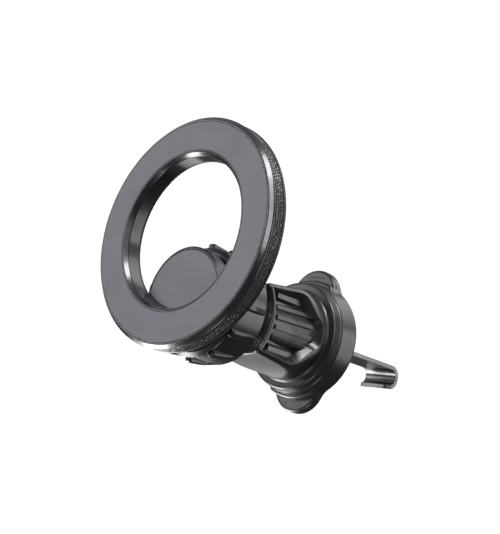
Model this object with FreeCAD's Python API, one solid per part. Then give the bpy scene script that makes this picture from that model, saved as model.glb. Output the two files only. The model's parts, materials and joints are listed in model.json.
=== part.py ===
"""Magnetic ring phone mount that hooks onto a car's air vent.

Frame: the origin is the centre of the vent pad's rear face, +Y points into the vent, +Z is up, and
everything is in millimetres. The clip, its winged knob and the ball joint share the Y axis. The
magnetic ring stands up from the ball joint and faces the driver, who looks along +Y.
"""
import FreeCAD, Part

import math
import os

from FreeCAD import Vector

os.makedirs("parts", exist_ok=True)

# ---- driving dimensions: magnetic ring head ----
RING_FRONT = -61.0        # y of the contact pad's face
RING_DEPTH = 5.55         # front face to back face
RING_LIFT = 15.7          # height of the ring's centre above the clip's axis
RING_RIM_R = 30.55        # widest radius of the head
RING_HOLE_R = 19.85       # radius of the hole through the ring
PAD_OUT_R = 29.0
PAD_IN_R = 21.34
PAD_T = 1.0
BAND_SEAT_R = 30.15       # seat of the textured band on the side wall
SEAM_GAP = 0.07           # groove between the pad and its bezels
WEB_T = 0.9               # wall between the pad and the magnets
MAGNET_COUNT = 18
MAGNET_IN_R = 23.2
MAGNET_OUT_R = 27.2
MAGNET_T = 1.85
SHUNT_T = 0.6
SHELL_T = 0.75            # rear shell's plate

# ---- driving dimensions: boss and ball joint ----
BOSS_R = 13.1
BOSS_DEPTH = 3.85
BOSS_SKIRT = 9.0          # how far the boss's straight sides run down
BOSS_BEVEL = 0.5
CAP_R = 12.2
CAP_T = 0.85
FLOOR_T = 1.25
BALL_Y = -44.8            # centre of the ball joint
BALL_R = 7.0
NECK_R = 3.4
LINER_T = 0.6
LINER_REACH = 116.0       # degrees that the liner wraps round the ball from its front
PLAY = 0.05               # radial clearance of close fits
COLLET_R = 11.9
COLLET_BORE_R = 5.6
FINGER_COUNT = 6
FINGER_SLOT = 1.2
NUT_FRONT = -50.0
NUT_BACK = -38.06
NUT_R = 14.6
NUT_RIB_COUNT = 12
NUT_RIB_W = 2.0
NUT_RIB_RISE = 1.25
NUT_RIB_ROUND = 0.55
TURN_PITCH = 1.5          # thread between collet and nut
TIP_R = 9.6               # radius of the collet's tapered tip
COLLET_SCREWS = ((-9.1, 1.2), (0.0, 9.4), (9.1, 1.2))
SCREW_HEAD_R = 1.6
SCREW_HEAD_T = 0.65
SCREW_R = 0.85

# ---- driving dimensions: clip body ----
DISH_R = 15.95            # hollow that the locking nut swings in
DISH_RIM = 1.35           # rim between the hollow and the finger grips
DISH_ROUND = 0.6          # rounding of the hollow's edge on the sides
BODY_FRONT = -36.5
BODY_REAR = -13.0
GRIP_HALF_H = 7.0         # half height of the finger grips' outline at its floor
GRIP_DRAFT = (1.5, 2.9, 1.2)  # growth of the outline at the skin: front, middle and rear
GRIP_SKIN = 10.4          # half width at which the outline has grown by the full draft
GRIP_FILL = 12.0          # half height of the solid above and below the barrel
GRIP_REAR = -16.0
GRIP_RIB_FRONT = -29.7
GRIP_RIB_REAR = -16.6
GRIP_RIB_W = 1.15
GRIP_RIB_RISE = 0.95
GRIP_RIB_ANGLES = (-40, -24, -8, 8, 24, 40)
GRIP_GROOVE = 1.0         # extra depth in front of the ribs
GRIP_SHALLOW = 7.7        # half width that is left above and below the barrel
STUD_R = 2.5
STUD_FLANGE_R = 5.2
STUD_SEAT = -28.3
TUBE_R = 7.6
TUBE_BORE_R = 6.3
TUBE_FRONT = -25.9
TUBE_REAR = -2.0
COLLAR_R = 8.85           # the knob's front bearing
KEYWAY_HALF = 2.6         # half width of the slots that the hook carrier slides in
RUN = 0.1                 # radial clearance of turning and sliding fits
GUIDE_FLANGE_R = 10.4
GUIDE_FLANGE_FRONT = -15.6
GUIDE_FLANGE_REAR = -13.7
GUIDE_SCREW_SPOT = 6.45
GUIDE_SCREW_R = 0.62
GUIDE_SCREW_HEAD_R = 1.2
STUD_NUT_FLATS = 8.0
STUD_NUT_T = 2.4
STUD_WASHER_REAR = 0.6    # rear face of the washer behind the cavity's front wall
RETAINER_FRONT = -3.95    # spring ring that keeps the knob on the guide tube
RETAINER_T = 0.5
RETAINER_R = 9.2
RETAINER_GROOVE_R = 7.2   # bottom of the groove that it sits in

# ---- driving dimensions: winged knob ----
KNOB_FRONT = -12.7
KNOB_SEAM = -10.0
KNOB_REAR = -3.3
KNOB_TOP_R = 15.25
KNOB_SIDE_R = 15.9
KNOB_WIDE_R = 16.55
LEDGE_Y = -8.0            # terrace halfway down the wings
WING_Y = -5.9             # flat finger pads of the wings
WING_TIP = 20.7
WING_TIP_R = 8.2
WING_BLEND_R = 6.0
WING_ROUND = 0.9          # rounding of the finger pads' rims
STEP_ROUND = 0.8          # rounding of the terraces
INSERT_R = 10.5
INSERT_REAR = -4.75
THREAD_PITCH = 3.0
THREAD_DEPTH = 0.9
KNOB_SCREW_SPOT = 9.3
KNOB_SCREW_R = 0.77
KNOB_SCREW_HEAD_R = 1.45

# ---- driving dimensions: hook and pads ----
PLATE_R = 11.4
PLATE_T = 1.5
VENT_PAD_T = 1.5
VENT_PAD_R = 11.1
HOOK_W = 11.4
HOOK_T = 1.2
HOOK_LIP_ROUND = 0.9
HOOK_NOTCH = (3.4, 4.5)   # small notch in the lip, from x to x
TANG_W = 8.0
CURL_Y = 29.9
CURL_R = 3.55
EAR_R = 8.8
CARRIER_FRONT = -20.8
CARRIER_REAR = -5.7
CARRIER_HOLLOW = 3.2      # pocket that clears the ball stud's nut
HOOK_OUT = 0.75           # how far the hook can still be let out
HOOK_PINS = (-13.6, -9.0)
PIN_R = 0.98
PIN_LENGTH = 15.4

# ---- positions that follow from the dimensions ----
CEMENT = 0.02             # gap between pieces that are glued or pressed together
STACK = 0.03              # gap between pieces that lie face to face
RING_BACK = RING_FRONT + RING_DEPTH
PAD_BACK = RING_FRONT + PAD_T
WEB_BACK = PAD_BACK + CEMENT + WEB_T
SHELL_FRONT = RING_BACK - SHELL_T
BAND_FRONT = RING_FRONT + 1.45
BAND_REAR = SHELL_FRONT
BOSS_FLOOR = RING_BACK + CAP_T + PLAY
BOSS_INNER = BOSS_FLOOR + FLOOR_T
BOSS_REAR = RING_BACK + BOSS_DEPTH
LINER_OUT_R = BALL_R + PLAY + LINER_T
SOCKET_R = LINER_OUT_R + 2 * PLAY
COLLET_FRONT = BOSS_INNER + STACK
COLLET_CONE = BALL_Y + 0.6
COLLET_TIP = BALL_Y + 3.5
CAVITY_FRONT = STUD_SEAT + 2.2
KEYWAY_TOP = EAR_R + 0.2
INSERT_FRONT = KNOB_FRONT + 0.6
PLATE_FRONT = -VENT_PAD_T - PLATE_T
TANG_FRONT = CARRIER_FRONT + CARRIER_HOLLOW + 1.0

Y_AXIS = Vector(0, 1, 0)
ORIGIN = Vector(0, 0, 0)


# ---- helpers ----
def profile_wire(points):
    """Closed wire in the XY plane from (x, y) or (x, y, corner radius) points."""
    count = len(points)
    edges = []
    starts = []
    ends = []
    mids = []
    for i in range(count):
        here = Vector(points[i][0], points[i][1], 0)
        before = Vector(points[i - 1][0], points[i - 1][1], 0)
        after = Vector(points[(i + 1) % count][0], points[(i + 1) % count][1], 0)
        radius = points[i][2] if len(points[i]) > 2 else 0
        if radius == 0:
            starts.append(here)
            ends.append(here)
            mids.append(None)
            continue
        back = (before - here).normalize()
        ahead = (after - here).normalize()
        half = back.getAngle(ahead) / 2
        reach = radius / math.tan(half)
        centre = here + (back + ahead).normalize() * (radius / math.sin(half))
        starts.append(here + back * reach)
        ends.append(here + ahead * reach)
        mids.append(centre + (here - centre).normalize() * radius)
    for i in range(count):
        if mids[i] is not None:
            edges.append(Part.Arc(starts[i], mids[i], ends[i]).toShape())
        following = starts[(i + 1) % count]
        if (following - ends[i]).Length > 1e-6:
            edges.append(Part.LineSegment(ends[i], following).toShape())
    return Part.Wire(edges)


def lathe(points, lift=0.0):
    """Solid turned about the Y axis from (radius, y) points, then raised by lift."""
    solid = Part.Face(profile_wire(points)).revolve(ORIGIN, Y_AXIS, 360)
    solid.translate(Vector(0, 0, lift))
    return solid


def rod(radius, y0, y1, x=0.0, z=0.0):
    return Part.makeCylinder(radius, y1 - y0, Vector(x, y0, z), Y_AXIS)


def ring(inner, outer, y0, y1, z=0.0):
    return rod(outer, y0, y1, 0, z).cut(rod(inner, y0 - 1, y1 + 1, 0, z))


def block(x0, x1, y0, y1, z0, z1):
    return Part.makeBox(x1 - x0, y1 - y0, z1 - z0, Vector(x0, y0, z0))


def ball_arc(radius, from_deg, to_deg):
    """Arc about the ball's centre in the XY plane; 0 degrees points at the driver."""
    points = []
    for angle in (from_deg, (from_deg + to_deg) / 2, to_deg):
        a = math.radians(angle)
        points.append(Vector(radius * math.sin(a), BALL_Y - radius * math.cos(a), 0))
    return Part.Arc(*points).toShape()


def ball(radius):
    arc = ball_arc(radius, 0, 180)
    axis = Part.LineSegment(arc.Vertexes[-1].Point, arc.Vertexes[0].Point).toShape()
    return Part.Face(Part.Wire([arc, axis])).revolve(ORIGIN, Y_AXIS, 360)


def lies_on_ball(edge, radius):
    centre = Vector(0, BALL_Y, 0)
    return all(abs((point - centre).Length - radius) < 0.03 for point in edge.discretize(7))


def turned(shape, degrees):
    copy = shape.copy()
    copy.rotate(ORIGIN, Y_AXIS, degrees)
    return copy


def prism(points, y0, y1):
    """Solid along Y whose outline is given as (x, z, corner radius) points."""
    face = Part.Face(profile_wire(points))
    face.rotate(ORIGIN, Vector(1, 0, 0), 90)
    face.translate(Vector(0, y0, 0))
    return face.extrude(Vector(0, y1 - y0, 0))


def side_prism(points, x0, x1):
    """Solid along X whose outline is given as (y, z, corner radius) points."""
    face = Part.Face(profile_wire(points))
    face.rotate(ORIGIN, Vector(1, 1, 1), 120)
    face.translate(Vector(x0, 0, 0))
    return face.extrude(Vector(x1 - x0, 0, 0))


def fuse(shapes):
    return shapes[0].multiFuse(shapes[1:]).removeSplitter()


def edges_at(shape, wanted):
    return [edge for edge in shape.Edges if wanted(edge)]


def save(name, shape):
    shape.exportStep(os.path.join("parts", name + ".step"))
    print(name, "solids", len(shape.Solids), "volume %.1f" % shape.Volume, "valid", shape.isValid())


# ---- magnetic ring head ----
def contact_pad():
    return lathe([
        (PAD_IN_R, PAD_BACK), (PAD_IN_R, RING_FRONT, 0.15),
        (PAD_OUT_R, RING_FRONT, 0.15), (PAD_OUT_R, PAD_BACK)], RING_LIFT)


def front_bezel():
    seat = PAD_BACK + CEMENT
    rear = SHELL_FRONT - 0.05
    outer_lip = PAD_OUT_R + SEAM_GAP
    inner_lip = PAD_IN_R - SEAM_GAP
    wall = 1.15
    return lathe([
        (outer_lip, seat), (outer_lip, RING_FRONT + 0.1, 0.1), (outer_lip + 0.45, RING_FRONT + 0.05, 0.4),
        (RING_RIM_R - 0.05, RING_FRONT + 1.05, 0.5), (RING_RIM_R - 0.05, BAND_FRONT - 0.05),
        (BAND_SEAT_R, BAND_FRONT - 0.05), (BAND_SEAT_R, rear), (BAND_SEAT_R - wall, rear),
        (BAND_SEAT_R - wall, WEB_BACK), (inner_lip, WEB_BACK), (inner_lip, rear), (RING_HOLE_R, rear),
        (RING_HOLE_R + 0.15, RING_FRONT + 1.3, 0.6), (inner_lip - 0.4, RING_FRONT + 0.05, 0.4),
        (inner_lip, RING_FRONT + 0.1, 0.1), (inner_lip, seat)], RING_LIFT)


def magnet_segments():
    gap_deg = 1.4
    span = 360.0 / MAGNET_COUNT
    front = WEB_BACK + STACK
    solids = []
    for i in range(MAGNET_COUNT):
        face = Part.Face(profile_wire([
            (MAGNET_IN_R, front), (MAGNET_OUT_R, front),
            (MAGNET_OUT_R, front + MAGNET_T), (MAGNET_IN_R, front + MAGNET_T)]))
        segment = face.revolve(ORIGIN, Y_AXIS, span - gap_deg)
        segment = turned(segment, i * span)
        segment.translate(Vector(0, 0, RING_LIFT))
        solids.append(segment)
    return Part.makeCompound(solids)


def shunt_ring():
    front = WEB_BACK + STACK + MAGNET_T + STACK
    return ring(MAGNET_IN_R - 0.4, MAGNET_OUT_R + 0.4, front, front + SHUNT_T, RING_LIFT)


def boss_block(y0, y1):
    """Round-topped boss with straight sides that run down behind the ring's lower band."""
    disc = rod(BOSS_R, y0, y1)
    skirt = block(-BOSS_R, BOSS_R, y0, y1, -BOSS_SKIRT, 2.6)
    boss = disc.fuse(skirt).removeSplitter()
    rims = edges_at(boss, lambda e: e.BoundBox.YLength < 0.01 and e.BoundBox.ZMax > -BOSS_SKIRT + 1)
    return boss.makeChamfer(BOSS_BEVEL, rims)


def cap_block(radius, y0, y1, clearance):
    """The part of the boss's disc that shows through the ring's hole."""
    return rod(radius, y0, y1).common(rod(RING_HOLE_R - 0.3 - clearance, y0 - 1, y1 + 1, 0, RING_LIFT))


def rear_shell():
    plate = lathe([
        (RING_HOLE_R, SHELL_FRONT), (RING_RIM_R - 0.25, SHELL_FRONT), (RING_RIM_R, SHELL_FRONT + 0.2),
        (RING_RIM_R, RING_BACK, 0.45), (RING_HOLE_R - 0.1, RING_BACK, 0.3)], RING_LIFT)
    shell = plate.fuse(boss_block(RING_BACK - 0.1, BOSS_REAR))
    shell = shell.cut(cap_block(CAP_R + PLAY, RING_BACK - 1, BOSS_FLOOR, -PLAY))
    shell = shell.cut(rod(COLLET_R + PLAY, BOSS_INNER, BOSS_REAR + 1))
    for x, z in COLLET_SCREWS:
        shell = shell.cut(rod(SCREW_R + PLAY, BOSS_FLOOR - 1, BOSS_INNER + 1, x, z))
        shell = shell.cut(rod(SCREW_HEAD_R + PLAY, BOSS_FLOOR - 1, BOSS_FLOOR + SCREW_HEAD_T, x, z))
    return shell


def texture_band():
    return lathe([
        (BAND_SEAT_R + CEMENT, BAND_FRONT), (RING_RIM_R - 0.1, BAND_FRONT, 0.1),
        (RING_RIM_R, BAND_REAR - 0.05, 0.1), (BAND_SEAT_R + CEMENT, BAND_REAR - 0.05)], RING_LIFT)


def boss_cap():
    return cap_block(CAP_R, RING_BACK + CEMENT, BOSS_FLOOR - CEMENT, 0.05)


def cap_screw(x, z, head_front, length, head_r, head_t, shank_r, recess_r):
    """Round-headed screw along +Y with a recess in its head."""
    head = rod(head_r, head_front, head_front + head_t, x, z)
    shank = rod(shank_r, head_front + head_t, head_front + head_t + length, x, z)
    recess = rod(recess_r, head_front - 1, head_front + head_t * 0.5, x, z)
    return head.fuse(shank).cut(recess)


def collet_screws():
    screws = []
    front = BOSS_FLOOR + STACK
    for x, z in COLLET_SCREWS:
        screws.append(cap_screw(x, z, front, 2.3, SCREW_HEAD_R, SCREW_HEAD_T - 0.05, SCREW_R, 0.7))
    return Part.makeCompound(screws)


# ---- ball joint ----
def socket_collet():
    thread = []
    groove_y = NUT_FRONT + 0.4
    while groove_y + TURN_PITCH < COLLET_CONE - 0.3:
        thread += [(COLLET_R, groove_y), (COLLET_R - 0.4, groove_y + 0.4), (COLLET_R, groove_y + 0.8)]
        groove_y += TURN_PITCH
    outline = [(COLLET_BORE_R, COLLET_FRONT), (COLLET_R, COLLET_FRONT)] + thread
    outline += [(COLLET_R, COLLET_CONE, 0.3), (TIP_R, COLLET_TIP, 0.3), (COLLET_BORE_R, COLLET_TIP)]
    collet = lathe(outline).cut(ball(SOCKET_R))
    collet = collet.cut(rod(7.0, COLLET_TIP - 1.0, COLLET_TIP + 1))
    for i in range(FINGER_COUNT):
        slot = block(-FINGER_SLOT / 2, FINGER_SLOT / 2, BALL_Y - 3.5, COLLET_TIP + 1, 3, COLLET_R + 1)
        collet = collet.cut(turned(slot, (i + 0.5) * 360.0 / FINGER_COUNT))
    for x, z in COLLET_SCREWS:
        collet = collet.cut(rod(SCREW_R + PLAY, COLLET_FRONT - 1, COLLET_FRONT + 1.9, x, z))
    return collet


def friction_pad():
    return rod(COLLET_BORE_R - 0.2, COLLET_FRONT, BALL_Y - 5.8).cut(ball(SOCKET_R))


def ball_liner():
    outer = ball_arc(LINER_OUT_R, 0, LINER_REACH)
    inner = ball_arc(BALL_R + PLAY, LINER_REACH, 0)
    lip = Part.LineSegment(outer.Vertexes[-1].Point, inner.Vertexes[0].Point).toShape()
    pole = Part.LineSegment(inner.Vertexes[-1].Point, outer.Vertexes[0].Point).toShape()
    cup = Part.Face(Part.Wire([outer, lip, inner, pole])).revolve(ORIGIN, Y_AXIS, 360)
    for i in range(4):
        slit = block(-0.4, 0.4, BALL_Y - 3.0, BALL_Y + 5, 3, 10)
        cup = cup.cut(turned(slit, i * 90.0 + 45))
    return cup


def locking_nut():
    bore = COLLET_R + 2 * RUN
    shell = lathe([
        (bore, NUT_FRONT), (NUT_R - 1.3, NUT_FRONT, 0.3), (NUT_R, NUT_FRONT + 1.0, 0.6),
        (NUT_R, BALL_Y + 1.0, 4.0), (NUT_R - 0.3, NUT_BACK - 1.0, 0.6), (NUT_R - 1.4, NUT_BACK, 0.4),
        (9.2, NUT_BACK, 0.3), (TIP_R + 0.2, COLLET_TIP + 0.25), (bore, COLLET_CONE + 0.1)])
    rib = side_prism([
        (NUT_FRONT + 1.0, NUT_R - 1.2), (NUT_FRONT + 0.7, NUT_R + NUT_RIB_RISE, 0.9),
        (BALL_Y + 1.0, NUT_R + 0.75, 3.0), (NUT_BACK - 0.9, NUT_R - 0.35), (NUT_BACK - 1.4, NUT_R - 1.2)],
        -NUT_RIB_W / 2, NUT_RIB_W / 2)
    crests = edges_at(rib, lambda e: e.BoundBox.XLength < 0.01 and e.BoundBox.ZMin > NUT_R - 0.6)
    rib = rib.makeFillet(NUT_RIB_ROUND, crests)
    ribs = []
    for i in range(NUT_RIB_COUNT):
        ribs.append(turned(rib, i * 360.0 / NUT_RIB_COUNT))
    return fuse([shell] + ribs)


def ball_stud():
    neck = lathe([
        (0, BALL_Y), (NECK_R, BALL_Y), (NECK_R, STUD_SEAT - 2.6, 1.5),
        (STUD_FLANGE_R, STUD_SEAT - 1.3, 0.3), (STUD_FLANGE_R, STUD_SEAT), (STUD_R, STUD_SEAT),
        (STUD_R, STUD_SEAT + 5.3, 0.4), (0, STUD_SEAT + 5.3)])
    return ball(BALL_R).fuse(neck)


# ---- clip body ----
def hexagon(across_flats, y0, y1):
    corner = across_flats / math.sqrt(3)
    points = []
    for i in range(6):
        angle = math.radians(60 * i)
        points.append((corner * math.cos(angle), corner * math.sin(angle)))
    return prism(points, y0, y1)


def stud_nut():
    front = CAVITY_FRONT + STUD_WASHER_REAR + PLAY
    bore = rod(STUD_R + CEMENT, front - 1, front + STUD_NUT_T + 1)
    return hexagon(STUD_NUT_FLATS, front, front + STUD_NUT_T).cut(bore)


def stud_washer():
    return ring(STUD_R + RUN, 4.7, CAVITY_FRONT + STACK, CAVITY_FRONT + STUD_WASHER_REAR)


def body_section(y, half_w, half_h, corner):
    r = min(corner, half_w - 0.05, half_h - 0.05)
    face = Part.Face(profile_wire([
        (-half_w, -half_h, r), (half_w, -half_h, r), (half_w, half_h, r), (-half_w, half_h, r)]))
    face.rotate(ORIGIN, Vector(1, 0, 0), 90)
    face.translate(Vector(0, y, 0))
    return face.OuterWire


def flared_body():
    """Rounded square that widens into a circle at the knob."""
    stations = (
        (BODY_FRONT, 9.7, 8.9, 1.6), (-31.5, 9.95, 9.7, 1.7), (-25.5, 10.3, 10.5, 1.9),
        (-21.0, 10.8, 11.2, 3.0), (-17.0, 11.8, 12.0, 7.4), (BODY_REAR, 13.0, 13.0, 12.9))
    return Part.makeLoft([body_section(*station) for station in stations], True)


def grip_core(rise):
    """Barrel, filled out above and below, that the finger grips are cut down to; rise lifts its surface."""
    barrel = lathe([
        (0, BODY_FRONT - 1), (9.0 - GRIP_GROOVE + rise, BODY_FRONT - 1),
        (9.0 - GRIP_GROOVE + rise, GRIP_RIB_FRONT), (9.1 + rise, GRIP_RIB_FRONT), (9.6 + rise, -23.0, 20.0),
        (10.5 + rise, -16.5), (11.3 + rise, BODY_REAR), (0, BODY_REAR)])
    half_w = GRIP_SHALLOW + rise
    return barrel.fuse(block(-half_w, half_w, GRIP_RIB_FRONT, BODY_REAR, -GRIP_FILL, GRIP_FILL))


def grip_outline(x, growth):
    """Outline of the finger grips, open towards the ball joint and round towards the knob."""
    front, middle, rear = (growth * draft for draft in GRIP_DRAFT)
    h = GRIP_HALF_H
    shoulder = GRIP_REAR - 5.0
    half = 2.8 + rear / 2
    wire = profile_wire([
        (BODY_FRONT - 5, -h - front), (shoulder, -h - middle, 4.0), (GRIP_REAR + rear, -half, 4.5),
        (GRIP_REAR + rear, half, 4.5), (shoulder, h + middle, 4.0), (BODY_FRONT - 5, h + front)])
    wire.rotate(ORIGIN, Vector(1, 1, 1), 120)
    wire.translate(Vector(x, 0, 0))
    return wire


def grip_window():
    """Recess on each side whose walls slope outwards to the body's skin."""
    slope = GRIP_SKIN - GRIP_SHALLOW
    halves = []
    for side in (-1, 1):
        sections = []
        for x in (2.0, 14.0):
            sections.append(grip_outline(side * x, (x - GRIP_SHALLOW) / slope))
        halves.append(Part.makeLoft(sections, True))
    window = Part.makeCompound(halves)
    return window.cut(ball(DISH_R + DISH_RIM))


def grip_ribs():
    half = GRIP_RIB_W / 2
    bars = []
    for side in (0, 180):
        for angle in GRIP_RIB_ANGLES:
            bar = block(6, 20, GRIP_RIB_FRONT, GRIP_RIB_REAR, -half, half)
            bars.append(turned(bar, side + angle))
    return Part.makeCompound(bars)


def grip_housing():
    window = grip_window()
    housing = flared_body().cut(window.cut(grip_core(0.0)))
    housing = housing.fuse(grip_core(GRIP_RIB_RISE).common(grip_ribs()).common(window))
    housing = housing.cut(ball(DISH_R))
    housing = housing.cut(rod(STUD_FLANGE_R + RUN, STUD_SEAT - 4, STUD_SEAT))
    housing = housing.cut(rod(STUD_R + RUN, STUD_SEAT - 1, CAVITY_FRONT + 1))
    housing = housing.cut(rod(TUBE_R + RUN, CAVITY_FRONT, BODY_REAR + 1))
    keyway = KEYWAY_HALF + 0.2
    housing = housing.cut(block(-keyway, keyway, CAVITY_FRONT, BODY_REAR + 1, -KEYWAY_TOP, KEYWAY_TOP))
    housing = housing.cut(rod(GUIDE_FLANGE_R + RUN, GUIDE_FLANGE_FRONT - STACK, BODY_REAR + 1))
    for x, z in corners(GUIDE_SCREW_SPOT):
        housing = housing.cut(rod(GUIDE_SCREW_R + STACK, GUIDE_FLANGE_FRONT - 3.2, BODY_REAR, x, z))
    rims = edges_at(housing, lambda e: lies_on_ball(e, DISH_R)
                    and min(abs(e.BoundBox.XMin), abs(e.BoundBox.XMax)) > 8)
    return housing.makeFillet(DISH_ROUND, rims)


def corners(reach):
    return ((reach, reach), (-reach, reach), (-reach, -reach), (reach, -reach))


def guide_tube():
    tube = rod(TUBE_R, TUBE_FRONT, TUBE_REAR)
    flange = rod(GUIDE_FLANGE_R, GUIDE_FLANGE_FRONT, GUIDE_FLANGE_REAR)
    collar = rod(COLLAR_R, GUIDE_FLANGE_REAR - 0.5, KNOB_FRONT + 0.55)
    tube = tube.fuse(flange).fuse(collar)
    tube = tube.cut(rod(TUBE_BORE_R, TUBE_FRONT - 1, TUBE_REAR + 1))
    for side in (-1, 1):
        slot = block(-KEYWAY_HALF, KEYWAY_HALF, TUBE_FRONT - 1, CARRIER_REAR + HOOK_OUT + 0.1, 4, KEYWAY_TOP)
        tube = tube.cut(turned(slot, 90 - 90 * side))
    tube = tube.cut(ring(RETAINER_GROOVE_R, RETAINER_R + 0.3, RETAINER_FRONT - PLAY,
                         RETAINER_FRONT + RETAINER_T + PLAY))
    for x, z in corners(GUIDE_SCREW_SPOT):
        tube = tube.cut(rod(GUIDE_SCREW_R + 0.08, GUIDE_FLANGE_FRONT - 1, GUIDE_FLANGE_REAR + 1, x, z))
        tube = tube.cut(rod(GUIDE_SCREW_HEAD_R + PLAY, GUIDE_FLANGE_REAR - 0.9, KNOB_FRONT + 2, x, z))
    return tube


def guide_screws():
    screws = []
    for x, z in corners(GUIDE_SCREW_SPOT):
        head = rod(GUIDE_SCREW_HEAD_R, GUIDE_FLANGE_REAR - 0.87, GUIDE_FLANGE_REAR - 0.1, x, z)
        shank = rod(GUIDE_SCREW_R, GUIDE_FLANGE_FRONT - 3.0, GUIDE_FLANGE_REAR - 0.8, x, z)
        recess = rod(0.5, GUIDE_FLANGE_REAR - 0.45, GUIDE_FLANGE_REAR, x, z)
        screws.append(head.fuse(shank).cut(recess))
    return Part.makeCompound(screws)


def thrust_washer():
    return ring(COLLAR_R + RUN, GUIDE_FLANGE_R - RUN, GUIDE_FLANGE_REAR + STACK, KNOB_FRONT - RUN)


def retaining_ring():
    clip = ring(RETAINER_GROOVE_R + PLAY, RETAINER_R, RETAINER_FRONT, RETAINER_FRONT + RETAINER_T)
    return clip.cut(block(-2.6, 2.6, RETAINER_FRONT - 1, 0, -10, -3))


def pressure_plate():
    plate = lathe([
        (0, PLATE_FRONT), (PLATE_R - 0.4, PLATE_FRONT, 0.2), (PLATE_R, PLATE_FRONT + 0.5, 0.2),
        (PLATE_R, -VENT_PAD_T), (0, -VENT_PAD_T)])
    plate = plate.cut(rod(TUBE_R + CEMENT, PLATE_FRONT - 1, TUBE_REAR + STACK))
    return plate.cut(block(-6.1, 6.1, PLATE_FRONT - 1, 1, -1.0, 1.0))


def vent_pad():
    pad = lathe([
        (0, -VENT_PAD_T + CEMENT), (VENT_PAD_R, -VENT_PAD_T + CEMENT), (VENT_PAD_R, 0, 0.5), (0, 0)])
    pad = pad.cut(block(-6.3, 6.3, -VENT_PAD_T - 1, 1, -1.2, 1.2))
    for z in (-7.6, -4.6, 4.6, 7.6):
        pad = pad.cut(block(-15, 15, -0.6, 1, z - 0.45, z + 0.45))
    return pad


# ---- winged knob ----
def wing_outline(y0, y1, limit=None):
    """Round knob with a wing up and a wing down; limit trims the wings to a radius."""
    solid = rod(KNOB_WIDE_R - 0.4, y0, y1)
    for side in (-1, 1):
        solid = solid.fuse(rod(WING_TIP_R, y0, y1, 0, side * (WING_TIP - WING_TIP_R)))
    solid = solid.removeSplitter()
    notches = edges_at(solid, lambda e: e.BoundBox.XLength < 0.01 and e.BoundBox.ZLength < 0.01
                       and 5 < abs(e.BoundBox.XMin) < 10)
    solid = solid.makeFillet(WING_BLEND_R, notches)
    if limit:
        solid = solid.common(rod(limit, y0 - 1, y1 + 1))
    return solid


def knob_cap():
    cap = lathe([
        (COLLAR_R + RUN, KNOB_FRONT), (12.9, KNOB_FRONT, 0.3), (13.3, KNOB_FRONT + 0.55, 0.3),
        (KNOB_TOP_R, KNOB_FRONT + 0.75, STEP_ROUND), (KNOB_SIDE_R - 0.15, KNOB_SEAM - 0.05),
        (INSERT_R + PLAY, KNOB_SEAM - 0.05), (INSERT_R + PLAY, INSERT_FRONT - STACK),
        (COLLAR_R + RUN, INSERT_FRONT - STACK)])
    for x, z in corners(KNOB_SCREW_SPOT):
        cap = cap.cut(rod(KNOB_SCREW_R + STACK, KNOB_SEAM - 1.4, KNOB_SEAM + 1, x, z))
    return cap


def knob_body():
    wings = wing_outline(WING_Y, KNOB_REAR)
    rims = edges_at(wings, lambda e: e.BoundBox.YLength < 0.01 and e.BoundBox.YMin < WING_Y + 0.01)
    wings = wings.makeFillet(WING_ROUND, rims)
    ledge = wing_outline(LEDGE_Y, WING_Y + 1, KNOB_WIDE_R + 0.6)
    rims = edges_at(ledge, lambda e: e.BoundBox.YLength < 0.01 and e.BoundBox.YMin < LEDGE_Y + 0.01)
    ledge = ledge.makeFillet(STEP_ROUND, rims)
    drum = lathe([
        (0, KNOB_SEAM), (KNOB_SIDE_R, KNOB_SEAM, STEP_ROUND), (KNOB_WIDE_R, KNOB_REAR - 0.8, 0.3),
        (KNOB_WIDE_R - 0.5, KNOB_REAR, 0.3), (0, KNOB_REAR)])
    body = fuse([drum, ledge, wings])
    body = body.cut(rod(INSERT_R + PLAY, KNOB_SEAM - 1, INSERT_REAR + PLAY))
    body = body.cut(rod(TUBE_R + RUN, KNOB_SEAM, 0))
    body = body.cut(rod(RETAINER_R + 0.5, RETAINER_FRONT - PLAY, 0))
    for x, z in corners(KNOB_SCREW_SPOT):
        body = body.cut(rod(KNOB_SCREW_R + STACK, KNOB_SEAM - 1, KNOB_REAR, x, z))
        body = body.cut(rod(KNOB_SCREW_HEAD_R + RUN, KNOB_REAR - 1.6, KNOB_REAR + 1, x, z))
    return body


def thread_insert():
    insert = ring(EAR_R + RUN, INSERT_R, INSERT_FRONT, INSERT_REAR)
    for i in range(8):
        flute = rod(0.45, INSERT_FRONT - 1, INSERT_REAR + 1, INSERT_R + 0.1, 0)
        insert = insert.cut(turned(flute, i * 45.0 + 22.5))
    return insert


def knob_screws():
    screws = []
    for x, z in corners(KNOB_SCREW_SPOT):
        head = rod(KNOB_SCREW_HEAD_R, KNOB_REAR - 1.57, KNOB_REAR - 0.5, x, z)
        shank = rod(KNOB_SCREW_R, KNOB_SEAM - 1.3, KNOB_REAR - 1.5, x, z)
        recess = rod(0.65, KNOB_REAR - 1.0, KNOB_REAR, x, z)
        screws.append(head.fuse(shank).cut(recess))
    return Part.makeCompound(screws)


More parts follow.
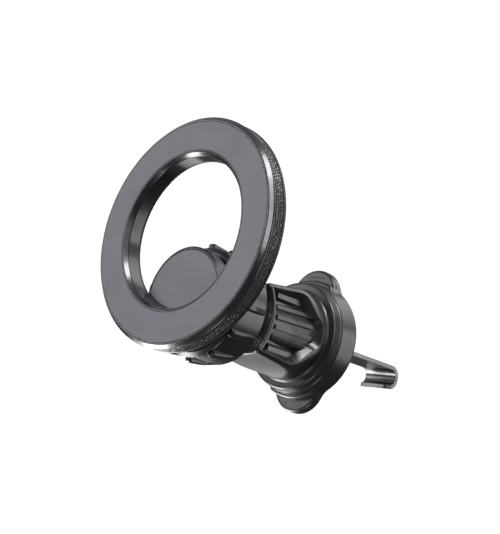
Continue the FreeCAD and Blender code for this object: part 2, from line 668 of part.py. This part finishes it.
# ---- hook ----
def vent_hook():
    half_t = HOOK_T / 2
    centre_z = half_t - CURL_R
    inner_r = CURL_R - HOOK_T
    tang = block(-TANG_W / 2, TANG_W / 2, TANG_FRONT, CARRIER_REAR + 0.2, -half_t, half_t)
    leg = block(-HOOK_W / 2, HOOK_W / 2, CARRIER_REAR + 0.1, CURL_Y, -half_t, half_t)
    curl = Part.makeCylinder(CURL_R, HOOK_W, Vector(-HOOK_W / 2, CURL_Y, centre_z), Vector(1, 0, 0))
    curl = curl.cut(Part.makeCylinder(inner_r, HOOK_W + 2, Vector(-HOOK_W / 2 - 1, CURL_Y, centre_z),
                                      Vector(1, 0, 0)))
    curl = curl.cut(block(-HOOK_W, HOOK_W, CURL_Y - 9, CURL_Y, -20, 20))
    hook = fuse([tang, leg, curl])
    lip_corners = edges_at(hook, lambda e: e.BoundBox.YLength < 0.01 and e.BoundBox.XLength < 0.01
                           and e.BoundBox.ZMax < centre_z and e.BoundBox.ZLength < HOOK_T + 0.1)
    hook = hook.makeFillet(HOOK_LIP_ROUND, lip_corners)
    hook = hook.cut(block(*HOOK_NOTCH, CURL_Y - 1, CURL_Y + 0.8,
                          centre_z - CURL_R - 1, centre_z - inner_r + 1))
    for y in HOOK_PINS:
        hook = hook.cut(Part.makeCylinder(PIN_R + CEMENT, 4, Vector(0, y, -2), Vector(0, 0, 1)))
    return hook


def hook_carrier():
    core = rod(TUBE_BORE_R - RUN, CARRIER_FRONT, CARRIER_REAR)
    ears = block(-KEYWAY_HALF + RUN, KEYWAY_HALF - RUN, CARRIER_FRONT, CARRIER_REAR, -EAR_R, EAR_R)
    thread = [(0, CARRIER_FRONT)]
    crest = CARRIER_FRONT
    while crest + THREAD_PITCH <= CARRIER_REAR:
        thread += [(EAR_R - THREAD_DEPTH, crest), (EAR_R, crest + 0.8), (EAR_R, crest + 1.6)]
        thread.append((EAR_R - THREAD_DEPTH, crest + 2.4))
        crest += THREAD_PITCH
    thread += [(EAR_R - THREAD_DEPTH, CARRIER_REAR), (0, CARRIER_REAR)]
    ears = ears.common(lathe(thread))
    carrier = core.fuse(ears)
    half_t = HOOK_T / 2 + CEMENT
    carrier = carrier.cut(rod(5.0, CARRIER_FRONT - 1, CARRIER_FRONT + CARRIER_HOLLOW))
    slot = block(-TANG_W / 2 - PLAY, TANG_W / 2 + PLAY, TANG_FRONT - PLAY, 0, -half_t, half_t)
    carrier = carrier.cut(slot)
    for y in HOOK_PINS:
        carrier = carrier.cut(Part.makeCylinder(PIN_R + CEMENT, 20, Vector(0, y, -10), Vector(0, 0, 1)))
    return carrier


def hook_pins():
    pins = []
    for y in HOOK_PINS:
        pins.append(Part.makeCylinder(PIN_R, PIN_LENGTH, Vector(0, y, -PIN_LENGTH / 2), Vector(0, 0, 1)))
    return Part.makeCompound(pins)


PARTS = {
    "contact_pad": contact_pad, "front_bezel": front_bezel, "magnet_segments": magnet_segments,
    "shunt_ring": shunt_ring, "rear_shell": rear_shell, "texture_band": texture_band,
    "boss_cap": boss_cap, "collet_screws": collet_screws, "socket_collet": socket_collet,
    "friction_pad": friction_pad, "ball_liner": ball_liner, "locking_nut": locking_nut,
    "ball_stud": ball_stud, "stud_nut": stud_nut, "stud_washer": stud_washer,
    "grip_housing": grip_housing, "guide_tube": guide_tube, "guide_screws": guide_screws,
    "thrust_washer": thrust_washer, "retaining_ring": retaining_ring,
    "pressure_plate": pressure_plate, "vent_pad": vent_pad, "knob_cap": knob_cap,
    "knob_body": knob_body, "thread_insert": thread_insert, "knob_screws": knob_screws,
    "vent_hook": vent_hook, "hook_carrier": hook_carrier, "hook_pins": hook_pins,
}

for part_name, make in PARTS.items():
    save(part_name, make())
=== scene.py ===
import json
import math
import random

import bmesh
import bpy
from mathutils import Matrix, Vector


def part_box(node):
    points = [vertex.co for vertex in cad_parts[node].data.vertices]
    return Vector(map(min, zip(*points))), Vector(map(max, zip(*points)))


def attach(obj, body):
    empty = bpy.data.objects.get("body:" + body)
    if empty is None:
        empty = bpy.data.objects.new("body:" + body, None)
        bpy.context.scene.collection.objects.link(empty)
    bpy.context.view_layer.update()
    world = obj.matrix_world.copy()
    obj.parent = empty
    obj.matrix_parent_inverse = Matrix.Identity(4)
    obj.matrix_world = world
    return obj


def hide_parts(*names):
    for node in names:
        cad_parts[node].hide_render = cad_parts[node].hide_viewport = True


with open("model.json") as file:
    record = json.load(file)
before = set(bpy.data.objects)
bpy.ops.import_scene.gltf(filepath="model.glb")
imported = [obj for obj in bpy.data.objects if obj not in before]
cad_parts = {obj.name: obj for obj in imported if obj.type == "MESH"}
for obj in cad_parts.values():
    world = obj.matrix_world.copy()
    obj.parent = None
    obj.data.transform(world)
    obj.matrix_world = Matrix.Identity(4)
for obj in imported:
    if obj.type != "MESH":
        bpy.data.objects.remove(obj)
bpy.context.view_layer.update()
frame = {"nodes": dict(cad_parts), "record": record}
MM = 0.001
nodes = frame["nodes"]

# ---- values: camera ----
CAMERA_PLACE = (0.2018, -0.2392, -0.0433)
CAMERA_RIGHT = (0.7268, 0.6596, 0.1917)
CAMERA_BACK = (0.6869, -0.7004, -0.1942)
CAMERA_LENS = 73.81

# ---- values: finishes ----
GRAIN = 5200.0              # scale of the fine grain of moulded plastic
BEVEL_SAMPLES = 6
GREY = (0.012, 0.012, 0.0135)
GREY_LIGHT = (0.016, 0.016, 0.018)
# Edge colour: lighter than GREY, so on the dark greys it is a painted highlight along the rounded
# edges; on the boss cap it makes the edges darker.
EDGE_GREY = (0.030, 0.030, 0.033)
# Edge colour of the contact pad: darker than the pad, so its rounded edges come out darker.
PAD_EDGE = (0.10, 0.10, 0.11)
FINISHES = {}               # material of each slot, filled by make_finishes

# ---- values: textured belt ----
BELT_ROWS = 4
BELT_COLUMNS = 212
BELT_SEED = 7
STUD_FLOOR = 0.35 * MM      # depth of the ground between the studs
STUD_FLOOR_RISE = 0.07 * MM
STUD_TOP = (0.02 * MM, 0.14 * MM)
BELT_BACK = 0.38 * MM       # depth of the belt's hidden back
SIDEWAYS_JITTER = 0.12      # share of a column
DEPTH_JITTER = 0.08 * MM

# ---- values: turning arrows on the wings ----
WING_PAD_Y = -5.9 * MM
ARROW_R = 18.5 * MM
ARROW_HALF_W = 0.09 * MM
ARROW_RISE = 0.06 * MM
ARROW_REACH = math.radians(7.5)
ARROW_HEAD = math.radians(2.6)
ARROW_HEAD_HALF_W = 0.5 * MM
ARROW_STEPS = 12

# ---- values: studio ----
FLOOR_Z = -0.26
FLOOR_R = 1.6
FLOOR_TINT = (0.84, 0.84, 0.84)
FLOOR_TINT_LIGHT = (0.87, 0.87, 0.87)
FLOOR_UNSEEN = (0.05, 0.05, 0.05)
FLOOR_GLOW = 0.62
SKY_LOW = (0.022, 0.022, 0.025)
SKY_HIGH = (0.34, 0.35, 0.39)
SKY_FROM = -0.25
SKY_TO = 0.6
BACKDROP = 1.1
LIGHT_CENTRE = Vector((0.0, -0.035, 0.008))
# name, direction from the centre, distance, size, power
LIGHTS = (
    ("key", (-0.60, -0.78, 0.22), 0.85, (0.50, 0.50), 2.3),
    ("front", (0.69, -0.66, 0.22), 0.80, (0.16, 0.40), 1.6),
    ("below", (0.20, -0.36, -0.90), 0.24, (0.08, 0.04), 0.08),
    ("below_left", (-0.69, -0.10, -0.71), 0.33, (0.24, 0.12), 1.3),
    ("below_back", (-0.60, 0.20, -0.78), 0.33, (0.34, 0.30), 0.65),
    ("back_top", (0.22, 0.70, 0.68), 0.80, (0.60, 0.40), 1.5),
    ("right_back", (0.70, 0.70, 0.04), 0.75, (0.34, 0.58), 1.9),
    ("corner", (0.50, -0.55, 0.63), 0.80, (0.14, 0.36), 1.3),
    ("top", (0.40, -0.30, 0.87), 0.70, (0.30, 0.22), 3.6),
)


# ---- camera ----
def make_camera():
    data = bpy.data.cameras.new("camera")
    data.lens = CAMERA_LENS
    data.sensor_width = 36.0
    data.sensor_fit = "AUTO"
    data.clip_start = 0.01
    camera = bpy.data.objects.new("camera", data)
    bpy.context.scene.collection.objects.link(camera)
    right = Vector(CAMERA_RIGHT).normalized()
    back = Vector(CAMERA_BACK)
    back = (back - right * back.dot(right)).normalized()
    up = back.cross(right)
    turn = Matrix((right, up, back)).transposed().to_4x4()
    camera.matrix_world = Matrix.Translation(Vector(CAMERA_PLACE)) @ turn
    bpy.context.scene.camera = camera


# ---- materials ----
def new_material(name):
    """A material with its node tree, its shader and the object's own coordinates."""
    material = bpy.data.materials.new(name)
    material.use_nodes = True
    tree = material.node_tree
    shader = tree.nodes["Principled BSDF"]
    place = tree.nodes.new("ShaderNodeTexCoord")
    return material, tree, shader, place.outputs["Object"]


def noise(tree, place, scale, detail=3.0, rough=0.55, stretch=None):
    node = tree.nodes.new("ShaderNodeTexNoise")
    node.inputs["Scale"].default_value = scale
    node.inputs["Detail"].default_value = detail
    node.inputs["Roughness"].default_value = rough
    if stretch:
        mapping = tree.nodes.new("ShaderNodeMapping")
        mapping.inputs["Scale"].default_value = stretch
        tree.links.new(place, mapping.inputs["Vector"])
        place = mapping.outputs["Vector"]
    tree.links.new(place, node.inputs["Vector"])
    return node.outputs["Fac"]


def spread(tree, value, low, high):
    """Maps a noise value from its usual 0.3..0.7 onto low..high."""
    node = tree.nodes.new("ShaderNodeMapRange")
    node.inputs["From Min"].default_value = 0.3
    node.inputs["From Max"].default_value = 0.7
    node.inputs["To Min"].default_value = low
    node.inputs["To Max"].default_value = high
    tree.links.new(value, node.inputs["Value"])
    return node.outputs["Result"]


def blend_colour(tree, factor, first, second):
    """Blends two colours, each a tuple or the output of a node."""
    node = tree.nodes.new("ShaderNodeMix")
    node.data_type = "RGBA"
    tree.links.new(factor, node.inputs["Factor"])
    for socket, colour in ((node.inputs[6], first), (node.inputs[7], second)):
        if isinstance(colour, tuple):
            socket.default_value = colour + (1.0,)
        else:
            tree.links.new(colour, socket)
    return node.outputs[2]


def rounded_normal(tree, radius, height, strength, depth):
    """Normals of edges rounded to a radius, alone and with a fine relief on top."""
    rounding = tree.nodes.new("ShaderNodeBevel")
    rounding.samples = BEVEL_SAMPLES
    rounding.inputs["Radius"].default_value = radius
    relief = tree.nodes.new("ShaderNodeBump")
    relief.inputs["Strength"].default_value = strength
    relief.inputs["Distance"].default_value = depth
    tree.links.new(height, relief.inputs["Height"])
    tree.links.new(rounding.outputs["Normal"], relief.inputs["Normal"])
    return rounding.outputs["Normal"], relief.outputs["Normal"]


def edge_mask(tree, round_normal):
    """1 on the rounded edges, 0 on the flats."""
    geometry = tree.nodes.new("ShaderNodeNewGeometry")
    dot = tree.nodes.new("ShaderNodeVectorMath")
    dot.operation = "DOT_PRODUCT"
    tree.links.new(round_normal, dot.inputs[0])
    tree.links.new(geometry.outputs["Normal"], dot.inputs[1])
    mask = tree.nodes.new("ShaderNodeMapRange")
    mask.inputs["From Min"].default_value = 0.995
    mask.inputs["From Max"].default_value = 0.86
    tree.links.new(dot.outputs["Value"], mask.inputs["Value"])
    return mask.outputs["Result"]


def plastic(name, dark, light, rough=(0.3, 0.34), grain=GRAIN, bump=0.03, edge=0.22,
            edge_colour=None, specular=0.5, coat=0.0):
    """Moulded plastic or rubber: mottled colour, fine grain and rounded edges in an edge colour of
    their own (a painted highlight where it is lighter than the rest, plain darker edges where it is
    darker).
    """
    material, tree, shader, place = new_material(name)
    cloud = noise(tree, place, 90.0)
    fine = noise(tree, place, grain, 2.0)
    colour = blend_colour(tree, spread(tree, cloud, 0.0, 1.0), dark, light)
    roughness = spread(tree, noise(tree, place, 240.0), *rough)
    edges, normal = rounded_normal(tree, edge * MM, fine, bump, 0.05 * MM)
    # The rounded edges take the edge colour: on the dark greys this is a painted highlight.
    if edge_colour:
        colour = blend_colour(tree, edge_mask(tree, edges), colour, edge_colour)
    tree.links.new(colour, shader.inputs["Base Color"])
    tree.links.new(roughness, shader.inputs["Roughness"])
    tree.links.new(normal, shader.inputs["Normal"])
    shader.inputs["Specular IOR Level"].default_value = specular
    shader.inputs["Coat Weight"].default_value = coat
    shader.inputs["Coat Roughness"].default_value = 0.12
    FINISHES[name] = material


def glossy_grey(name, edge):
    """The semi-gloss plastic of the nut, the body and the knob, with a painted highlight in EDGE_GREY
    along the rounded edges.
    """
    plastic(name, GREY, GREY_LIGHT, rough=(0.27, 0.32), edge=edge, edge_colour=EDGE_GREY, specular=0.6)


def metal(name, dark, light, rough=(0.22, 0.34), brush=None, edge=0.12):
    """Bare or plated metal; brush stretches the grain along one axis."""
    material, tree, shader, place = new_material(name)
    lines = noise(tree, place, 3000.0, 2.0, 0.6, brush)
    cloud = noise(tree, place, 160.0)
    colour = blend_colour(tree, spread(tree, cloud, 0.0, 1.0), dark, light)
    normal = rounded_normal(tree, edge * MM, lines, 0.12, 0.02 * MM)[1]
    tree.links.new(colour, shader.inputs["Base Color"])
    tree.links.new(spread(tree, lines, *rough), shader.inputs["Roughness"])
    tree.links.new(normal, shader.inputs["Normal"])
    shader.inputs["Metallic"].default_value = 1.0
    FINISHES[name] = material


def make_finishes():
    """One material for each slot of the record, kept in FINISHES under the slot's name."""
    plastic("contact_pad", (0.130, 0.130, 0.150), (0.148, 0.148, 0.170), rough=(0.50, 0.54),
            bump=0.05, edge=0.1, edge_colour=PAD_EDGE)
    plastic("front_bezel", GREY, GREY_LIGHT, rough=(0.21, 0.25), bump=0.02, edge=0.1,
            specular=0.6, coat=0.3)
    # EDGE_GREY here is a painted highlight along the rounded edges.
    plastic("rear_shell", GREY, GREY_LIGHT, rough=(0.31, 0.36), edge_colour=EDGE_GREY)
    plastic("texture_band", (0.026, 0.026, 0.029), (0.05, 0.05, 0.055), rough=(0.24, 0.34),
            bump=0.05, edge=0.04)
    plastic("boss_cap", (0.142, 0.142, 0.163), (0.162, 0.162, 0.185), rough=(0.46, 0.50),
            bump=0.05, edge=0.25, edge_colour=EDGE_GREY)
    plastic("inner_plastic", (0.03, 0.03, 0.032), (0.045, 0.045, 0.048), rough=(0.4, 0.5))
    plastic("friction_rubber", (0.02, 0.02, 0.02), (0.035, 0.035, 0.035), rough=(0.7, 0.85))
    plastic("liner_plastic", (0.68, 0.67, 0.62), (0.75, 0.74, 0.7), rough=(0.3, 0.4))
    glossy_grey("locking_nut", 0.18)
    glossy_grey("grip_housing", 0.18)
    glossy_grey("knob_cap", 0.15)
    glossy_grey("knob_body", 0.15)
    plastic("pressure_plate", (0.035, 0.035, 0.038), (0.05, 0.05, 0.054), rough=(0.35, 0.45))
    plastic("vent_pad", (0.018, 0.018, 0.019), (0.03, 0.03, 0.032), rough=(0.6, 0.75),
            grain=1800.0, bump=0.3, edge=0.2)
    metal("ball_stud", (0.4, 0.4, 0.42), (0.5, 0.5, 0.52))
    metal("magnet", (0.6, 0.6, 0.62), (0.72, 0.72, 0.74), rough=(0.12, 0.2))
    metal("plated_steel", (0.52, 0.52, 0.53), (0.64, 0.64, 0.66))
    metal("insert_brass", (0.62, 0.46, 0.2), (0.76, 0.6, 0.3), brush=(1.0, 0.05, 1.0))
    metal("hook_steel", (0.12, 0.12, 0.124), (0.16, 0.16, 0.165), rough=(0.28, 0.38),
          brush=(0.08, 1.0, 1.0), edge=0.15)


def dress(piece, slot):
    piece.data.materials.clear()
    piece.data.materials.append(FINISHES[slot])


def dress_cad_nodes():
    slots = {row["node"]: row["material_slot"] for row in frame["record"]["subparts"]}
    for name, node in nodes.items():
        dress(node, slots[name])


# ---- detailed pieces ----
def add_piece(name, bm, body, slot, replaced=()):
    """A new piece that rides on a body, takes its finish from a slot and stands for CAD nodes."""
    bmesh.ops.recalc_face_normals(bm, faces=bm.faces)
    mesh = bpy.data.meshes.new(name)
    bm.to_mesh(mesh)
    bm.free()
    piece = bpy.data.objects.new(name, mesh)
    bpy.context.scene.collection.objects.link(piece)
    dress(piece, slot)
    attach(piece, body)
    if replaced:
        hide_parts(*replaced)


def row_angle(row, column, jitter=0.0):
    """Angle of a lattice point; every other row is shifted by half a column."""
    return 2 * math.pi * (column + 0.5 * (row % 2) + jitter) / BELT_COLUMNS


def grained_band():
    """Belt round the ring's side wall, covered in small irregular three-sided studs."""
    low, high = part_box("texture_band")
    centre_z = (low.z + high.z) / 2
    crest = (high.x - low.x) / 2
    rng = random.Random(BELT_SEED)
    bm = bmesh.new()

    def at(radius, angle, y):
        return bm.verts.new((radius * math.cos(angle), y, centre_z + radius * math.sin(angle)))

    def lattice_row(row):
        y = low.y + (high.y - low.y) * row / BELT_ROWS
        inside = row not in (0, BELT_ROWS)
        line = []
        for column in range(BELT_COLUMNS):
            jitter = rng.uniform(-SIDEWAYS_JITTER, SIDEWAYS_JITTER) if inside else 0.0
            shift = rng.uniform(-DEPTH_JITTER, DEPTH_JITTER) if inside else 0.0
            radius = crest - STUD_FLOOR + rng.uniform(0.0, STUD_FLOOR_RISE)
            line.append(at(radius, row_angle(row, column, jitter), y + shift))
        return line

    def stud(cell):
        middle = sum((vertex.co for vertex in cell), Vector()) / 3
        outward = Vector((middle.x, 0, middle.z - centre_z)).normalized()
        radius = crest - rng.uniform(*STUD_TOP)
        top = bm.verts.new((outward.x * radius, middle.y, centre_z + outward.z * radius))
        for k in range(3):
            bm.faces.new((cell[k], cell[(k + 1) % 3], top))

    def strip(first, second):
        for column in range(BELT_COLUMNS):
            after = (column + 1) % BELT_COLUMNS
            bm.faces.new((first[column], first[after], second[after], second[column]))

    lattice = [lattice_row(row) for row in range(BELT_ROWS + 1)]
    for row in range(BELT_ROWS):
        here, above = lattice[row], lattice[row + 1]
        for column in range(BELT_COLUMNS):
            after = (column + 1) % BELT_COLUMNS
            if row % 2 == 0:
                stud((here[column], here[after], above[column]))
                stud((here[after], above[after], above[column]))
            else:
                stud((here[column], above[after], above[column]))
                stud((here[column], here[after], above[after]))
    walls = []
    for row, y in ((0, low.y), (BELT_ROWS, high.y)):
        wall = [at(crest - BELT_BACK, row_angle(row, column), y) for column in range(BELT_COLUMNS)]
        strip(lattice[row], wall)
        walls.append(wall)
    strip(*walls)
    add_piece("grained_band", bm, "head", "texture_band", ("texture_band",))


def arc_arrow(name, side):
    """Small curved arrow with two heads on a wing's finger pad: turn either way."""
    bm = bmesh.new()

    def spot(radius, angle, y):
        return bm.verts.new((radius * math.sin(angle), y, side * radius * math.cos(angle)))

    def slab(outline):
        top = [spot(radius, angle, WING_PAD_Y - ARROW_RISE) for radius, angle in outline]
        base = [spot(radius, angle, WING_PAD_Y + ARROW_RISE) for radius, angle in outline]
        bm.faces.new(top)
        bm.faces.new(list(reversed(base)))
        for k in range(len(outline)):
            after = (k + 1) % len(outline)
            bm.faces.new((top[k], base[k], base[after], top[after]))

    line = [-ARROW_REACH + 2 * ARROW_REACH * k / ARROW_STEPS for k in range(ARROW_STEPS + 1)]
    outer = [(ARROW_R + ARROW_HALF_W, angle) for angle in line]
    inner = [(ARROW_R - ARROW_HALF_W, angle) for angle in reversed(line)]
    slab(outer + inner)
    for end in (-1, 1):
        tip = end * (ARROW_REACH + ARROW_HEAD)
        foot = end * ARROW_REACH
        slab([(ARROW_R, tip), (ARROW_R + ARROW_HEAD_HALF_W, foot), (ARROW_R - ARROW_HEAD_HALF_W, foot)])
    add_piece(name, bm, "knob", "knob_body")


# ---- surroundings ----
def make_floor():
    """Pale floor. It glows a little for the camera and is dark to every other ray."""
    bpy.ops.mesh.primitive_circle_add(
        vertices=96, radius=FLOOR_R, fill_type="NGON", location=(0, -0.03, FLOOR_Z))
    floor = bpy.context.object
    floor.name = "floor"
    material, tree, shader, place = new_material("floor")
    mottle = spread(tree, noise(tree, place, 6.0), 0.0, 1.0)
    tint = blend_colour(tree, mottle, FLOOR_TINT, FLOOR_TINT_LIGHT)
    rays = tree.nodes.new("ShaderNodeLightPath")
    seen = blend_colour(tree, rays.outputs["Is Camera Ray"], FLOOR_UNSEEN, tint)
    glow = tree.nodes.new("ShaderNodeMath")
    glow.operation = "MULTIPLY"
    glow.inputs[1].default_value = FLOOR_GLOW
    tree.links.new(rays.outputs["Is Camera Ray"], glow.inputs[0])
    tree.links.new(seen, shader.inputs["Base Color"])
    tree.links.new(tint, shader.inputs["Emission Color"])
    tree.links.new(glow.outputs["Value"], shader.inputs["Emission Strength"])
    shader.inputs["Roughness"].default_value = 0.8
    floor.data.materials.append(material)


def softbox(name, place, aim, size, power):
    data = bpy.data.lights.new(name, "AREA")
    data.shape = "RECTANGLE"
    data.size, data.size_y = size
    data.energy = power
    lamp = bpy.data.objects.new(name, data)
    bpy.context.scene.collection.objects.link(lamp)
    lamp.location = place
    lamp.rotation_euler = (Vector(aim) - Vector(place)).to_track_quat("-Z", "Y").to_euler()
    lamp.visible_camera = False


def make_lights():
    for name, way, reach, size, power in LIGHTS:
        place = LIGHT_CENTRE + Vector(way).normalized() * reach
        softbox(name, place, LIGHT_CENTRE, size, power)


def make_world():
    """White backdrop for the camera, and a soft sky for every other ray."""
    world = bpy.data.worlds.new("studio")
    bpy.context.scene.world = world
    world.use_nodes = True
    tree = world.node_tree
    tree.nodes.clear()
    place = tree.nodes.new("ShaderNodeTexCoord")
    axes = tree.nodes.new("ShaderNodeSeparateXYZ")
    height = tree.nodes.new("ShaderNodeMapRange")
    height.inputs["From Min"].default_value = SKY_FROM
    height.inputs["From Max"].default_value = SKY_TO
    tree.links.new(place.outputs["Generated"], axes.inputs["Vector"])
    tree.links.new(axes.outputs["Z"], height.inputs["Value"])
    soft = tree.nodes.new("ShaderNodeBackground")
    soft.inputs["Strength"].default_value = 1.0
    sky = blend_colour(tree, height.outputs["Result"], SKY_LOW, SKY_HIGH)
    tree.links.new(sky, soft.inputs["Color"])
    white = tree.nodes.new("ShaderNodeBackground")
    white.inputs["Color"].default_value = (1.0, 1.0, 1.0, 1.0)
    white.inputs["Strength"].default_value = BACKDROP
    rays = tree.nodes.new("ShaderNodeLightPath")
    mix = tree.nodes.new("ShaderNodeMixShader")
    output = tree.nodes.new("ShaderNodeOutputWorld")
    tree.links.new(rays.outputs["Is Camera Ray"], mix.inputs["Fac"])
    tree.links.new(soft.outputs["Background"], mix.inputs[1])
    tree.links.new(white.outputs["Background"], mix.inputs[2])
    tree.links.new(mix.outputs["Shader"], output.inputs["Surface"])


make_camera()
make_floor()
make_lights()
make_world()
make_finishes()
dress_cad_nodes()
grained_band()
arc_arrow("arrow_top", 1)
arc_arrow("arrow_bottom", -1)
bpy.context.scene.view_settings.view_transform = "Standard"
